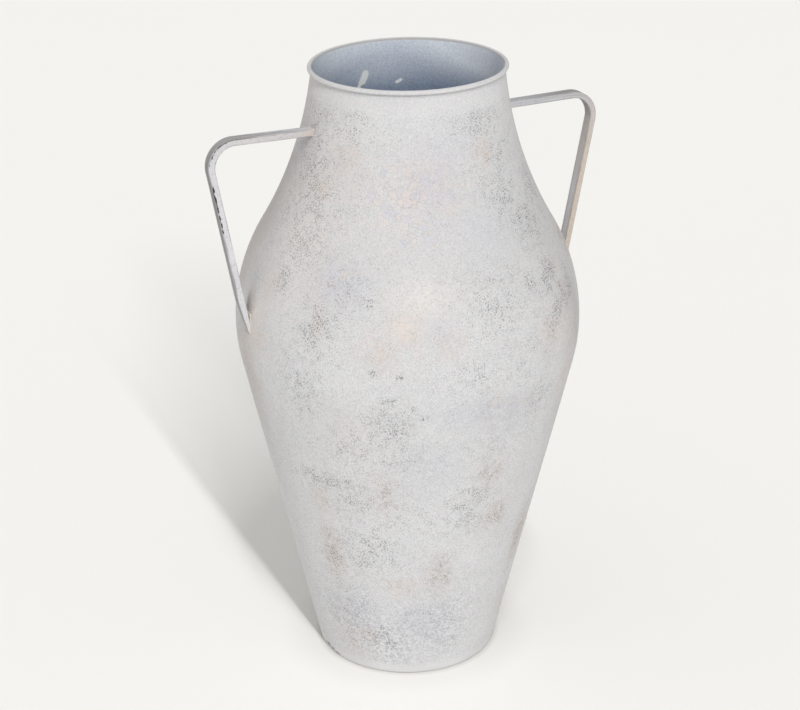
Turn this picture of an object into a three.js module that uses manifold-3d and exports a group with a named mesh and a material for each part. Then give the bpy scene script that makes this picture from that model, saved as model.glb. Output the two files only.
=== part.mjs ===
// A two-handled sheet-iron vase: two spun shells welded at the girth, a rim curled over wire,
// a disc for a bottom and two handles of bent flat bar, each welded on at both ends.
// Millimetres, +Z up. The origin is the middle of the ring that the vase stands on, and the handles
// lie along X, the right one towards +X.

import * as THREE from "three";
import { mergeVertices } from "three/addons/utils/BufferGeometryUtils.js";
import Module from "manifold-3d";

const wasm = await Module();
wasm.setup();

// Driving dimensions of the body, outside faces
const height = 500;
const baseRadius = 74;
const girthRadius = 137.8;
const girthHeight = 292;
const mouthRadius = 73.5;
const neckLean = THREE.MathUtils.degToRad(6); // how far the neck still leans in where it meets the rim
const bellyEase = 14.8; // from the girth down to where the cone's line would meet the upright there
const shoulderEase = 42.4; // from the girth up to where the shoulder's line would meet the upright there

// Sheet, rim, lip and bottom
const sheet = 0.8;
const rimWire = 1.6; // diameter
const rimWireFit = 0.25; // between the wire and the curl
const rimCurl = THREE.MathUtils.degToRad(282); // how far round the wire the sheet is curled
const lipWidth = 14; // turned under the base, from the base radius inwards
const lipCorner = 1.6; // outside radius of the turn
const discThickness = 1;

// Handles of flat bar
const barWidth = 10;
const barThickness = 5;
const handleReach = 167; // from the axis to the corner of the bar's centreline
const armDropAtCorner = 42.5; // from the top of the rim down to the centreline
const armDropAtNeck = 43.7;
const barBend = 19; // centreline radius of the corner
const footRise = 9; // from the girth up to where the leg's centreline lands
const footTaper = 28; // how far before there the leg's outer face starts to draw in to land there too
const footLength = 18; // how far the leg runs on past there, before it is trimmed to the body

// Welds
const handleWeldLeg = 1.6;
const heelFill = 7; // how far the foot's weld runs up the corner between the leg's heel and the body
const ringWeldWidth = 5;
const ringWeldHeight = 1.4;
const baseWeldLeg = 3.4;

// Clearance between pieces that touch
const fit = 0.3;

// Facets
const turnFacets = 64; // round the axis
const shoulderSteps = 7;
const neckSteps = 5;
const curlSteps = 8;
const bellySteps = 4;
const lipSteps = 3;
const bendSteps = 8;
const wireSides = 8;
const ringWeldSteps = 4;
const beadSteps = 2;

const upright = Math.PI / 2;

// The body's outline runs up its outside face in the plane of radius and height. A station on it holds
// a point and the heading there, the angle from the outward direction.
const station = (r, z, heading) => ({ r, z, heading });

// The station one straight run further on.
function ahead(from, run) {
  return station(
    from.r + run * Math.cos(from.heading),
    from.z + run * Math.sin(from.heading),
    from.heading,
  );
}

// The stations along an arc that turns left for a positive angle and right for a negative one.
function arc(from, radius, turn, steps) {
  const side = Math.sign(turn);
  const stations = [];
  for (let i = 1; i <= steps; i += 1) {
    const heading = from.heading + (turn * i) / steps;
    stations.push(
      station(
        from.r + side * radius * (Math.sin(heading) - Math.sin(from.heading)),
        from.z - side * radius * (Math.cos(heading) - Math.cos(from.heading)),
        heading,
      ),
    );
  }
  return stations;
}

// The stations' points, moved to the left of the outline by an offset: positive goes into the sheet.
function facePoints(stations, offset) {
  return stations.map(
    (s) => new THREE.Vector2(s.r - offset * Math.sin(s.heading), s.z + offset * Math.cos(s.heading)),
  );
}

// The girth, where the two shells meet upright.
const girth = station(girthRadius, girthHeight, upright);

// Rim: the sheet curls outwards round the wire, and the bead's inside edge is the mouth.
const curlInside = rimWire / 2 + rimWireFit;
const beadRadius = curlInside + sheet;
const beadCentre = new THREE.Vector2(mouthRadius + beadRadius, height - beadRadius);
const rim = station(
  beadCentre.x - curlInside * Math.cos(neckLean),
  beadCentre.y - curlInside * Math.sin(neckLean),
  upright + neckLean,
);

// Shoulder and neck: two arcs that meet smoothly between the girth and the rim. Each arc touches its own
// end's direction for a length called an ease, and the neck's ease follows from the shoulder's.
const rise = new THREE.Vector2(rim.r - girth.r, rim.z - girth.z);
const rimWay = new THREE.Vector2(Math.cos(rim.heading), Math.sin(rim.heading));
const neckEase =
  (rise.lengthSq() - 2 * shoulderEase * rise.y) /
  (2 * rise.dot(rimWay) + 2 * shoulderEase * (1 - Math.sin(rim.heading)));
const shoulderLine = new THREE.Vector2(rise.x - neckEase * rimWay.x, rise.y - neckEase * rimWay.y - shoulderEase);
const shoulderTurn = shoulderLine.angle() - upright;
const neckTurn = rim.heading - shoulderLine.angle();
const shoulderArc = arc(girth, shoulderEase / Math.tan(shoulderTurn / 2), shoulderTurn, shoulderSteps);
const neckArc = arc(shoulderArc.at(-1), neckEase / Math.tan(-neckTurn / 2), neckTurn, neckSteps);
const curlArc = arc(neckArc.at(-1), curlInside, -rimCurl, curlSteps);

// Belly: the lip runs out under the base, turns up at its corner into the cone and eases into the girth.
const coneHeading = Math.atan2(girthHeight - bellyEase, girthRadius - baseRadius);
const lipTurn = lipCorner * Math.tan(coneHeading / 2); // from the sharp corner back to where the turn starts
const lipEnd = station(baseRadius - lipTurn, 0, 0);
const lipArc = arc(lipEnd, lipCorner, coneHeading, lipSteps);
const coneLength = Math.hypot(girthHeight - bellyEase, girthRadius - baseRadius);
const coneTop = ahead(lipArc.at(-1), coneLength - lipTurn - bellyEase);
const bellyTurn = upright - coneHeading;
const bellyArc = arc(coneTop, bellyEase / Math.tan(bellyTurn / 2), bellyTurn, bellySteps);

// The belly stops one clearance below the girth, which leaves the gap that the girth weld closes.
const bellyTop = ahead(girth, -fit);
const lipStart = station(baseRadius - lipWidth, 0, 0);
const bellyPath = [lipStart, lipEnd, ...lipArc, coneTop, ...bellyArc.slice(0, -1), bellyTop];
const neckPath = [girth, ...shoulderArc, ...neckArc, ...curlArc];
const bodyFace = [...lipArc, coneTop, ...bellyArc, ...shoulderArc, ...neckArc];

// The outside radius of the body at a height, and the heading of its face there.
function bodyAt(z) {
  const upper = Math.max(1, bodyFace.findIndex((s) => s.z >= z));
  const [a, b] = [bodyFace[upper - 1], bodyFace[upper]];
  const share = (z - a.z) / (b.z - a.z);
  return station(a.r + share * (b.r - a.r), z, a.heading + share * (b.heading - a.heading));
}

// Solids

// A geometry with its shared corners merged and the faces that a pole flattens left out.
function closed(geometry) {
  geometry.deleteAttribute("normal");
  geometry.deleteAttribute("uv");
  const merged = mergeVertices(geometry);
  const corners = merged.index.array;
  const kept = [];
  for (let i = 0; i < corners.length; i += 3) {
    const [a, b, c] = corners.slice(i, i + 3);
    if (a !== b && b !== c && c !== a) {
      kept.push(a, b, c);
    }
  }
  merged.setIndex(kept);
  return merged;
}

// A ring or a solid turned about the axis from a closed outline of radius and height, anticlockwise.
function turned(outline) {
  const geometry = new THREE.LatheGeometry([...outline, outline[0]], turnFacets);
  return closed(geometry.rotateX(upright));
}

// A strip of sheet whose outside face follows the stations.
const strip = (stations) => turned([...facePoints(stations, 0), ...facePoints(stations, sheet).reverse()]);

// A geometry as a solid that can be cut, and back again.
function solidOf(geometry) {
  return new wasm.Manifold(
    new wasm.Mesh({
      numProp: 3,
      vertProperties: geometry.attributes.position.array,
      triVerts: new Uint32Array(geometry.index.array),
    }),
  );
}

function geometryOf(solid) {
  const { vertProperties, triVerts } = solid.getMesh();
  return new THREE.BufferGeometry()
    .setAttribute("position", new THREE.BufferAttribute(vertProperties, 3))
    .setIndex(new THREE.BufferAttribute(triVerts, 1));
}

// The space that the body fills with its mouth closed, grown outwards by a clearance.
function bodySpace(clearance) {
  const face = facePoints(bodyFace, -clearance);
  const bottom = new THREE.Vector2(0, face[0].y);
  const top = new THREE.Vector2(0, face.at(-1).y);
  return solidOf(turned([bottom, ...face, top]));
}

// Handles, made on the +X side in the plane of X and height

const neckJoint = bodyAt(height - armDropAtNeck);
const footJoint = bodyAt(girthHeight + footRise);
const corner = new THREE.Vector2(handleReach, height - armDropAtCorner);
const armWay = corner.clone().sub(new THREE.Vector2(neckJoint.r, neckJoint.z)).normalize();
const legWay = new THREE.Vector2(footJoint.r, footJoint.z).sub(corner).normalize();
const cornerTurn = Math.acos(armWay.dot(legWay));
const cornerEase = barBend * Math.tan(cornerTurn / 2);
const legLength = corner.distanceTo(new THREE.Vector2(footJoint.r, footJoint.z));

// A point beside the bar's centreline, at a run along the leg from where its centreline lands.
function besideLeg(run, offset) {
  return new THREE.Vector2(
    footJoint.r + run * legWay.x - offset * legWay.y,
    footJoint.z + run * legWay.y + offset * legWay.x,
  );
}

const halfBar = barThickness / 2;

// Where the leg's inner face first meets the body: a walk down the leg, no further than the bar's end.
function heelPoint() {
  const walk = 0.25;
  let run = -legLength / 2;
  let point = besideLeg(run, -halfBar);
  while (run < footLength && point.x > bodyAt(point.y).r) {
    run += walk;
    point = besideLeg(run, -halfBar);
  }
  return point;
}

// The bar as it is before its ends are trimmed to the body, grown all round by a clearance. The outer face
// of its leg draws in along a straight line that crosses the centreline where that lands on the body.
function bar(clearance) {
  const half = halfBar + clearance;
  const armStart = station(neckJoint.r - barWidth, neckJoint.z, armWay.angle());
  const bendStart = station(corner.x - cornerEase * armWay.x, corner.y - cornerEase * armWay.y, armWay.angle());
  const bend = arc(bendStart, barBend, -cornerTurn, bendSteps);
  const path = [armStart, bendStart, ...bend];
  const drawnIn = (-halfBar * footLength) / footTaper + clearance;
  const legEnd = [besideLeg(footLength, -half), besideLeg(footLength, drawnIn), besideLeg(-footTaper, half)];
  const outline = new THREE.Shape([...facePoints(path, -half), ...legEnd, ...facePoints(path, half).reverse()]);
  const width = barWidth + 2 * clearance;
  const geometry = new THREE.ExtrudeGeometry(outline, { depth: width, bevelEnabled: false });
  return solidOf(closed(geometry.translate(0, 0, -width / 2).rotateX(upright)));
}

const bodyWithFit = bodySpace(fit);
const barWithFit = bar(fit);
const handleGeometry = geometryOf(bar(0).subtract(bodyWithFit));

// A block that stands out from the axis over a bar end, from one height to another.
function blockOver(low, high, reach) {
  const width = barWidth + 2 * reach;
  const outline = new THREE.Shape([
    new THREE.Vector2(0, low - reach),
    new THREE.Vector2(handleReach, low - reach),
    new THREE.Vector2(handleReach, high + reach),
    new THREE.Vector2(0, high + reach),
  ]);
  const geometry = new THREE.ExtrudeGeometry(outline, { depth: width, bevelEnabled: false });
  return solidOf(closed(geometry.translate(0, 0, -width / 2).rotateX(upright)));
}

// The bead round a bar end. It follows the body's face and steps down from the bar to its toe.
function handleWeld(low, high) {
  const steps = [];
  for (let i = 0; i < beadSteps; i += 1) {
    const reach = handleWeldLeg * (1 - i / beadSteps);
    const lift = (handleWeldLeg * (i + 1)) / beadSteps;
    steps.push(blockOver(low, high, reach).intersect(bodySpace(lift)));
  }
  const bead = steps.reduce((made, step) => made.add(step));
  return geometryOf(bead.subtract(bodyWithFit).subtract(barWithFit));
}

const neckWeldGeometry = handleWeld(neckJoint.z - halfBar, neckJoint.z + halfBar);
const footWeldGeometry = handleWeld(footJoint.z, heelPoint().y + heelFill - handleWeldLeg);

// Rings and the bottom

function rimWireGeometry() {
  const outline = [];
  for (let i = 0; i < wireSides; i += 1) {
    const angle = (2 * Math.PI * i) / wireSides;
    const offset = new THREE.Vector2(Math.cos(angle), Math.sin(angle)).multiplyScalar(rimWire / 2);
    outline.push(beadCentre.clone().add(offset));
  }
  return turned(outline);
}

// A low bead that lies along the inside of the girth.
function girthWeldGeometry() {
  const seat = girthRadius - sheet - fit;
  const outline = [];
  for (let i = 0; i <= ringWeldSteps; i += 1) {
    const angle = upright + (Math.PI * i) / ringWeldSteps;
    outline.push(
      new THREE.Vector2(
        seat + ringWeldHeight * Math.cos(angle),
        girthHeight + (ringWeldWidth / 2) * Math.sin(angle),
      ),
    );
  }
  return turned(outline);
}

const discBottom = sheet + fit;
const discTop = discBottom + discThickness;

function baseDiscGeometry() {
  const radius = baseRadius - lipTurn - fit;
  const geometry = new THREE.CylinderGeometry(radius, radius, discThickness, turnFacets);
  return closed(geometry.rotateX(upright).translate(0, 0, (discBottom + discTop) / 2));
}

// A fillet between the disc and the inside of the cone.
function baseWeldGeometry() {
  const wallLean = (girthRadius - baseRadius) / (girthHeight - bellyEase);
  const wall = (z) => baseRadius + wallLean * z - (sheet + fit) / Math.sin(coneHeading);
  const low = discTop + fit;
  const heel = new THREE.Vector2(wall(low), low);
  const toeOnDisc = new THREE.Vector2(wall(low) - baseWeldLeg, low);
  const toeOnWall = new THREE.Vector2(wall(low + baseWeldLeg), low + baseWeldLeg);
  return turned([toeOnDisc, heel, toeOnWall]);
}

// Finishes

const paintedIron = () => new THREE.MeshStandardMaterial({ color: 0xd9d9da, roughness: 0.75, metalness: 0 });
const barPaint = () => new THREE.MeshStandardMaterial({ color: 0xc4c1be, roughness: 0.7, metalness: 0 });
const weldPaint = () => new THREE.MeshStandardMaterial({ color: 0xd2c7b8, roughness: 0.75, metalness: 0 });
const greyPrimer = () => new THREE.MeshStandardMaterial({ color: 0x98a2ae, roughness: 0.8, metalness: 0 });
const bareSteel = () => new THREE.MeshStandardMaterial({ color: 0x8d8f92, roughness: 0.45, metalness: 1 });

function piece(name, geometry, material) {
  geometry.computeVertexNormals();
  const mesh = new THREE.Mesh(geometry, material);
  mesh.name = name;
  return mesh;
}

// Assembly

const vase = new THREE.Group();
vase.add(
  piece("belly_shell", strip(bellyPath), paintedIron()),
  piece("neck_shell", strip(neckPath), paintedIron()),
  piece("rim_wire", rimWireGeometry(), bareSteel()),
  piece("girth_weld", girthWeldGeometry(), greyPrimer()),
  piece("base_disc", baseDiscGeometry(), greyPrimer()),
  piece("base_weld", baseWeldGeometry(), greyPrimer()),
);

for (const [side, turn] of [
  ["right", 0],
  ["left", Math.PI],
]) {
  const handle = new THREE.Group();
  handle.rotation.z = turn;
  handle.add(
    piece(`handle_${side}`, handleGeometry.clone(), barPaint()),
    piece(`handle_${side}_neck_weld`, neckWeldGeometry.clone(), weldPaint()),
    piece(`handle_${side}_girth_weld`, footWeldGeometry.clone(), weldPaint()),
  );
  vase.add(handle);
}

export default vase;
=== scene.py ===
# %% [markdown]
# # A two-handled vase of painted sheet iron
#
# The vase is two spun shells welded at the girth, a rim curled over wire, a disc for a bottom and two handles
# of bent flat bar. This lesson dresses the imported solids: each piece gets a finer mesh in the same place, and
# each surface gets the finish that the real one has. Everything is in metres, in the frame of the solids,
# with the handles along X and the front towards -Y.

# %% Load the solids
import math
import random

import bpy
import numpy as np
from mathutils import Matrix, Vector, noise


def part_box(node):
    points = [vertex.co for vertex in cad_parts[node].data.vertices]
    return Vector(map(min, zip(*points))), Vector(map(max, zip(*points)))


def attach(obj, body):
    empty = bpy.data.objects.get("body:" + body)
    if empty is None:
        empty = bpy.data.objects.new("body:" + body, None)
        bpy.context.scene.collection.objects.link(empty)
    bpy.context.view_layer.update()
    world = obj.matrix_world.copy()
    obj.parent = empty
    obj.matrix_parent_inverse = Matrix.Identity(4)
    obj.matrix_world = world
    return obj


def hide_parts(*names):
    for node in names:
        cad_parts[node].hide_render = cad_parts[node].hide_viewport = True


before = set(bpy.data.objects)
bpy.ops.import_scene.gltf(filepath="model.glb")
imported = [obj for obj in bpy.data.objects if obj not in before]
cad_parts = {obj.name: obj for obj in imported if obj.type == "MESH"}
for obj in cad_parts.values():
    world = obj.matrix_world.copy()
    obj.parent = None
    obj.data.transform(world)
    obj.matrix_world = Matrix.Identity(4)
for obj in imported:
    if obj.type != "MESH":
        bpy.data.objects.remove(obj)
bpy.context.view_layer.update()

MM = 0.001
scene = bpy.context.scene
print("solids:", ", ".join(sorted(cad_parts)))

# %% [markdown]
# ## The camera
#
# The vase is seen from above its mouth with a fairly long lens, and turned so that the left handle comes
# forward. A camera could be set by eye. This one was fitted to the outline of the vase instead, as a pinhole
# camera, so that a mark can be put where it belongs. A bearing is an angle round the vase, from the front
# towards the right handle.

# %% Camera
sensor_width = 36
picture_width_px = 800
focal_length_px = 2024.2
camera_bearing = math.radians(-25.4)
camera_distance = 1503.6 * MM
camera_height = 921.5 * MM
camera_tilt = math.radians(23.88)
camera_pan = math.radians(0.23)


def towards(bearing, elevation=0.0):
    """The unit vector from the axis out to a bearing and elevation."""
    level = math.cos(elevation)
    return Vector((level * math.sin(bearing), -level * math.cos(bearing), math.sin(elevation)))


camera = bpy.data.objects.new("camera", bpy.data.cameras.new("camera"))
scene.collection.objects.link(camera)
scene.camera = camera
camera.data.sensor_width = sensor_width
camera.data.lens = sensor_width * focal_length_px / picture_width_px
camera.location = towards(camera_bearing) * camera_distance + Vector((0, 0, camera_height))
looking = -towards(camera_bearing + camera_pan, camera_tilt)
camera.rotation_euler = looking.to_track_quat("-Z", "Y").to_euler()
print("camera at", [round(x, 3) for x in camera.location], "lens", round(camera.data.lens, 1))

# %% [markdown]
# ## The outline of the body
#
# Both shells are turned, so one outline in the plane of radius and height describes them. A smooth curve
# through a few points would come close, but it is drawn as a spinner's template would be: a straight cone, an
# arc into the girth, an arc over the shoulder and an opposite arc up the neck. Then every size has a meaning.
# A station on the outline holds a radius, a height and the heading there.

# %% Sizes of the body
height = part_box("neck_shell")[1].z
girth_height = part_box("neck_shell")[0].z
girth_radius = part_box("neck_shell")[1].y
base_radius = 74 * MM
mouth_radius = 73.5 * MM
neck_lean = math.radians(6)
belly_ease = 14.8 * MM
shoulder_ease = 42.4 * MM
sheet = 0.8 * MM
curl_inside = 1.05 * MM
rim_curl = math.radians(282)
lip_width = 14 * MM
lip_corner = 1.6 * MM
upright = math.pi / 2
print("body", round(height, 4), "tall,", round(2 * girth_radius, 4), "across")

# %% Arcs and straight runs
def arc(start, radius, turn, steps):
    """The stations along an arc: a positive turn goes left."""
    r, z, heading = start
    side = math.copysign(radius, turn)
    headings = [heading + turn * i / steps for i in range(1, steps + 1)]
    return [
        (r + side * (math.sin(h) - math.sin(heading)), z - side * (math.cos(h) - math.cos(heading)), h)
        for h in headings
    ]


def run(start, end, steps):
    """The stations along a straight run, without its start."""
    heading = math.atan2(end[1] - start[1], end[0] - start[0])
    shares = [i / steps for i in range(1, steps + 1)]
    return [(start[0] + t * (end[0] - start[0]), start[1] + t * (end[1] - start[1]), heading) for t in shares]


def beside(stations, offset):
    """The stations' points, moved to the left of the outline: a positive offset goes into the sheet."""
    return [(r - offset * math.sin(h), z + offset * math.cos(h)) for r, z, h in stations]


quarter = arc((1.0, 0.0, upright), 1.0, upright, steps=4)[-1]
print("a quarter turn to the left, from (1, 0) going up, ends at", [round(x, 2) for x in quarter])

# %% Stations along the outline
girth = (girth_radius, girth_height, upright)
bead_radius = curl_inside + sheet
bead_centre = (mouth_radius + bead_radius, height - bead_radius)
rim = (
    bead_centre[0] - curl_inside * math.cos(neck_lean),
    bead_centre[1] - curl_inside * math.sin(neck_lean),
    upright + neck_lean,
)

# The neck's ease follows from the shoulder's, so that the two arcs meet with one heading.
rise = Vector((rim[0] - girth[0], rim[1] - girth[1]))
rim_way = Vector((math.cos(rim[2]), math.sin(rim[2])))
neck_ease = (rise.length_squared - 2 * shoulder_ease * rise.y) / (
    2 * rise.dot(rim_way) + 2 * shoulder_ease * (1 - rim_way.y)
)
shoulder_line = rise - neck_ease * rim_way - Vector((0, shoulder_ease))
meeting = math.atan2(shoulder_line.y, shoulder_line.x)
shoulder_turn = meeting - upright
neck_turn = rim[2] - meeting
shoulder_arc = arc(girth, shoulder_ease / math.tan(shoulder_turn / 2), shoulder_turn, steps=28)
neck_radius = neck_ease / math.tan(-neck_turn / 2)

# Right under the rim and right above the foot the stations lie closer, to carry the marks there.
fine_neck = 0.04
fine_cone = 0.03
neck_arc = arc(shoulder_arc[-1], neck_radius, (1 - fine_neck) * neck_turn, steps=54)
neck_arc += arc(neck_arc[-1], neck_radius, fine_neck * neck_turn, steps=16)
curl_arc = arc(neck_arc[-1], curl_inside, -rim_curl, steps=26)

cone_heading = math.atan2(girth_height - belly_ease, girth_radius - base_radius)
lip_turn = lip_corner * math.tan(cone_heading / 2)
lip_start = (base_radius - lip_width, 0.0, 0.0)
lip_end = (base_radius - lip_turn, 0.0, 0.0)
lip_arc = arc(lip_end, lip_corner, cone_heading, steps=8)
cone_top = (
    girth_radius - belly_ease * math.cos(cone_heading),
    girth_height - belly_ease - belly_ease * math.sin(cone_heading),
    cone_heading,
)
cone_foot = Vector(lip_arc[-1][:2]).lerp(Vector(cone_top[:2]), fine_cone)
cone = run(lip_arc[-1], cone_foot, steps=12)
cone += run(cone_foot, cone_top, steps=82)
belly_turn = upright - cone_heading
belly_arc = arc(cone_top, belly_ease / math.tan(belly_turn / 2), belly_turn, steps=12)

# A station just short of each end keeps the smooth shading flat right up to the edge of the sheet.
edge_hold = 0.04 * MM
lip_hold = (lip_start[0] + edge_hold, 0.0, 0.0)
girth_below = (girth_radius, girth_height - edge_hold, upright)
girth_above = (girth_radius, girth_height + edge_hold, upright)
belly_path = [lip_start, lip_hold] + run(lip_hold, lip_end, steps=5) + lip_arc + cone + belly_arc[:-1]
belly_path += [girth_below, girth]
neck_path = [girth, girth_above] + shoulder_arc + neck_arc + curl_arc
print("outline:", len(belly_path), "stations below the girth and", len(neck_path), "above it")

# %% Reading the outline
face = np.array(lip_arc + cone + belly_arc + shoulder_arc + neck_arc)


def body_radius(z):
    """The outside radius of the body at a height."""
    return np.interp(z, face[:, 1], face[:, 0])


def body_normal(point):
    """The way that the body's outside face looks, at a point on it."""
    heading = np.interp(point.z, face[:, 1], face[:, 2])
    level = Vector((point.x, point.y, 0)).normalized()
    return level * math.sin(heading) - Vector((0, 0, math.cos(heading)))


print("halfway up, the body is", round(2 * float(body_radius(height / 2)), 4), "across")

# %% [markdown]
# ## Nodes and colours
#
# One small function adds any node, so that trees read as a list of what feeds what. Colours are written as
# they look on a screen and turned into the linear values that Blender works in.

# %% Adding nodes
def add(tree, kind, inputs=(), **settings):
    """Adds a node and fills its inputs, by name or number, with values or links. Returns its first output."""
    node = tree.nodes.new(kind)
    for name, value in settings.items():
        setattr(node, name, value)
    for key, value in dict(inputs).items():
        socket = node.inputs[key] if isinstance(key, int) else next(
            s for s in node.inputs if s.enabled and s.name == key
        )
        if isinstance(value, bpy.types.NodeSocket):
            tree.links.new(value, socket)
        else:
            socket.default_value = value
    return next((s for s in node.outputs if s.enabled), None)


def linear(colour):
    """An sRGB hex colour as linear red, green, blue and alpha."""
    shares = [int(colour[i : i + 2], 16) / 255 for i in (1, 3, 5)]
    return [c / 12.92 if c <= 0.04045 else ((c + 0.055) / 1.055) ** 2.4 for c in shares] + [1.0]


def start_finish(name):
    """A new material, its empty tree and the place on the object that its patterns read."""
    material = bpy.data.materials.new(name)
    material.use_nodes = True
    tree = material.node_tree
    tree.nodes.clear()
    return material, tree, add(tree, "ShaderNodeTexCoord").node.outputs["Object"]


def close_finish(tree, colour, roughness, relief, depth, **constants):
    """Ends a finish with its colour, its roughness and a relief whose depth is in metres."""
    normal = add(tree, "ShaderNodeBump", {"Height": relief, "Distance": depth})
    surface = {"Base Color": colour, "Roughness": roughness, "Normal": normal, **constants}
    shader = add(tree, "ShaderNodeBsdfPrincipled", surface)
    add(tree, "ShaderNodeOutputMaterial", {"Surface": shader})


print("pale grey paint is", [round(c, 3) for c in linear("#DBDBDC")])

# %% [markdown]
# ## Sponged chalk paint
#
# The outside was sprayed with a grainy coat and then sponged and rubbed with chalk paint. The eye sees a matt
# pale grey with a fine grain, dark pits that gather in dabs, faint peach, cream and lavender clouds, and
# flakes where the sponge lifted wet paint. A picture of the paint could be wrapped round the vase, but a
# pattern that fills space has no seam and stays sharp close up. The pits are the cells of a Voronoi texture:
# each is a small ball in space, and the surface cuts it to a dot of its own size. Where a dab lies the balls
# swell, so the dots grow and crowd. Where the dabs lie is painted on the mesh as attributes, so the finish
# only has to read them. What faces up is painted a little darker, as shade, so that the shoulder shows no
# brighter than the cone.

# %% The sprayed coat
coat_greys = ("#C1C0C2", "#D9D9DA")


def sprayed_coat(tree, place, grain, patches, clouds, sprayed):
    """The coat drifts in lightness and slightly in hue. Sprayed dry, it is grainy, and where it faces up it is
    painted a little darker, as shade.
    """
    grains = add(
        tree,
        "ShaderNodeMapRange",
        {"Value": grain, "From Min": 0.3, "From Max": 0.7, "To Min": -0.7, "To Max": 0.3},
    )
    grained = add(tree, "ShaderNodeMath", {0: grains, 1: sprayed, 2: 0.4}, operation="MULTIPLY_ADD")
    drift = add(tree, "ShaderNodeMath", {0: clouds, 1: 0.6, 2: grained}, operation="MULTIPLY_ADD")
    dark, light = [linear(grey) for grey in coat_greys]
    coat = add(tree, "ShaderNodeMix", {"Factor": drift, "A": dark, "B": light}, data_type="RGBA")
    hued = add(
        tree,
        "ShaderNodeMix",
        {"Factor": 0.12, "A": coat, "B": patches.node.outputs["Color"]},
        data_type="RGBA",
        blend_type="SOFT_LIGHT",
    )
    # Faces that look up are painted towards a darker grey: painted shade on the shoulder.
    upward = add(tree, "ShaderNodeSeparateXYZ", {"Vector": place.node.outputs["Normal"]}).node.outputs["Z"]
    upward_shade = add(
        tree, "ShaderNodeMapRange", {"Value": upward, "From Min": -0.1, "From Max": 0.5, "To Max": 0.3}
    )
    top_shade = add(tree, "ShaderNodeMath", {0: upward_shade, 1: sprayed}, operation="MULTIPLY")
    return add(tree, "ShaderNodeMix", {"Factor": top_shade, "A": hued, "B": linear("#A6A39F")}, data_type="RGBA")


print("coat: from", " to ".join(coat_greys))

# %% Flakes of lifted paint
flake_width = 6 * MM


def with_flakes(tree, place, colour, blots, flaked):
    """Lays flakes over a colour: some lavender and some peach, with ragged edges and a faint outline."""
    push = (flake_width, flake_width, flake_width)
    ragged = add(
        tree,
        "ShaderNodeVectorMath",
        {0: blots.node.outputs["Color"], 1: push, 2: place},
        operation="MULTIPLY_ADD",
    )
    flake_size = {"Vector": ragged, "Scale": 1 / flake_width}
    flake = add(tree, "ShaderNodeTexVoronoi", flake_size, feature="F1").node.outputs["Color"]
    pick = add(tree, "ShaderNodeSeparateColor", {"Color": flake}).node.outputs
    flake_tint = add(
        tree,
        "ShaderNodeMix",
        {"Factor": pick["Red"], "A": linear("#BDBDC8"), "B": linear("#CFC4BC")},
        data_type="RGBA",
    )
    lifted = add(tree, "ShaderNodeMapRange", {"Value": pick["Green"], "From Min": 0.35, "From Max": 0.6})
    from_edge = add(tree, "ShaderNodeTexVoronoi", flake_size, feature="DISTANCE_TO_EDGE")
    outline = add(
        tree, "ShaderNodeMapRange", {"Value": from_edge, "From Min": 0.09, "From Max": 0.02, "To Max": 0.4}
    )
    for pattern, tint in ((lifted, flake_tint), (outline, linear("#A19E9C"))):
        share = add(tree, "ShaderNodeMath", {0: flaked, 1: pattern}, operation="MULTIPLY")
        colour = add(tree, "ShaderNodeMix", {"Factor": share, "A": colour, "B": tint}, data_type="RGBA")
    return colour


print("flakes about", flake_width, "m across")

# %% Pits
pit_spacing = 1.3 * MM
pit_softness = 0.22


def with_pits(tree, place, colour, blots, stipple, peach):
    """Lays pits over a colour. A dab hazes it and makes its pits wide and dark enough to show."""
    cells = {"Vector": place, "Scale": 1 / pit_spacing}
    from_middle = add(tree, "ShaderNodeTexVoronoi", cells, feature="F1").node.outputs["Distance"]
    sponge = add(
        tree,
        "ShaderNodeMapRange",
        {"Value": blots, "From Min": 0.3, "From Max": 0.7, "To Min": 0.4, "To Max": 1.6},
    )
    density = add(tree, "ShaderNodeMath", {0: stipple, 1: sponge}, operation="MULTIPLY")
    haze = add(
        tree, "ShaderNodeMapRange", {"Value": density, "From Min": 0.3, "From Max": 1.5, "To Max": 0.12}
    )
    edge = add(tree, "ShaderNodeMapRange", {"Value": density, "From Max": 1.2, "To Min": 0.24, "To Max": 0.5})
    middle = add(tree, "ShaderNodeMath", {0: edge, 1: pit_softness}, operation="SUBTRACT")
    pit = add(tree, "ShaderNodeMapRange", {"Value": from_middle, "From Min": edge, "From Max": middle})
    strength = add(
        tree, "ShaderNodeMapRange", {"Value": density, "From Max": 2.0, "To Min": 0.3, "To Max": 0.95}
    )
    pit_share = add(tree, "ShaderNodeMath", {0: pit, 1: strength}, operation="MULTIPLY")
    undercoat = add(
        tree,
        "ShaderNodeMix",
        {"Factor": peach, "A": linear("#6C6B6D"), "B": linear("#7C695C")},
        data_type="RGBA",
    )
    for share, tone in ((haze, linear("#9A989B")), (pit_share, undercoat)):
        colour = add(tree, "ShaderNodeMix", {"Factor": share, "A": colour, "B": tone}, data_type="RGBA")
    return colour


print("pits about", pit_spacing, "m apart")

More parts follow.
